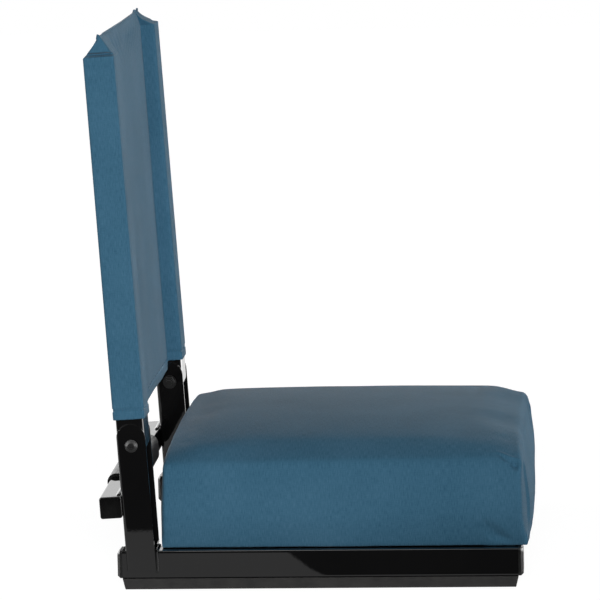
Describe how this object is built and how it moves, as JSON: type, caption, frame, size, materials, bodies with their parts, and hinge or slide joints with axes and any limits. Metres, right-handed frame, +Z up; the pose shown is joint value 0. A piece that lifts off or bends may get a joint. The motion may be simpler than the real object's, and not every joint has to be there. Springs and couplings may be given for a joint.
{
  "type": "folding stadium seat",
  "caption": "Folding stadium seat: padded cushion on a steel rail frame with rubber runners, a fabric-covered backrest on hinged posts that folds forward, and a rear carry handle.",
  "frame": {"origin": "middle of the bounding box, on the floor plane under the runners", "axes": "+Z up, -Y to the front of the seat, +X to the sitter's left"},
  "size_m": [0.4066, 0.3942, 0.497],
  "materials": {
    "frame_steel": "gloss black powder coat",
    "dark_hardware": "black oxide steel",
    "cap_plastic": "satin black moulded plastic",
    "runner_rubber": "matt dark rubber",
    "grip_rubber": "soft black rubber",
    "board_wood": "bare plywood",
    "cushion_foam": "open-cell foam",
    "cover_fabric": "woven blue polyester, slight sheen"
  },
  "bodies": {
    "base": {"board_screws": "dark_hardware", "front_cross_tube": "frame_steel", "handle_bar": "frame_steel", "handle_grip": "grip_rubber", "handle_plug_left": "cap_plastic", "handle_plug_right": "cap_plastic", "pivot_bolt_left": "dark_hardware", "pivot_bolt_right": "dark_hardware", "pivot_bushing_left": "dark_hardware", "pivot_bushing_right": "dark_hardware", "pivot_nut_left": "dark_hardware", "pivot_nut_right": "dark_hardware", "pivot_washer_left": "dark_hardware", "pivot_washer_right": "dark_hardware", "rail_cap_front_left": "cap_plastic", "rail_cap_front_right": "cap_plastic", "rail_cap_rear_left": "cap_plastic", "rail_cap_rear_right": "cap_plastic", "rail_left": "frame_steel", "rail_right": "frame_steel", "rear_cross_tube": "frame_steel", "runner_left": "runner_rubber", "runner_right": "runner_rubber", "runner_screws": "dark_hardware", "seat_board": "board_wood", "seat_cover": "cover_fabric", "seat_foam": "cushion_foam", "upright_foot_left": "frame_steel", "upright_foot_right": "frame_steel", "upright_left": "frame_steel", "upright_right": "frame_steel"},
    "backrest": {"back_bar_lower": "frame_steel", "back_bar_upper": "frame_steel", "back_panel": "cover_fabric", "back_sleeve_left": "cover_fabric", "back_sleeve_right": "cover_fabric", "post_left": "frame_steel", "post_plug_left": "cap_plastic", "post_plug_right": "cap_plastic", "post_right": "frame_steel"}
  },
  "joints": [
    {"name": "backrest_fold", "type": "hinge", "parent": "base", "child": "backrest", "pos_m": [0, 0.16313, 0.132], "axis": [1, 0, 0], "range_deg": [0, 88]}
  ]
}
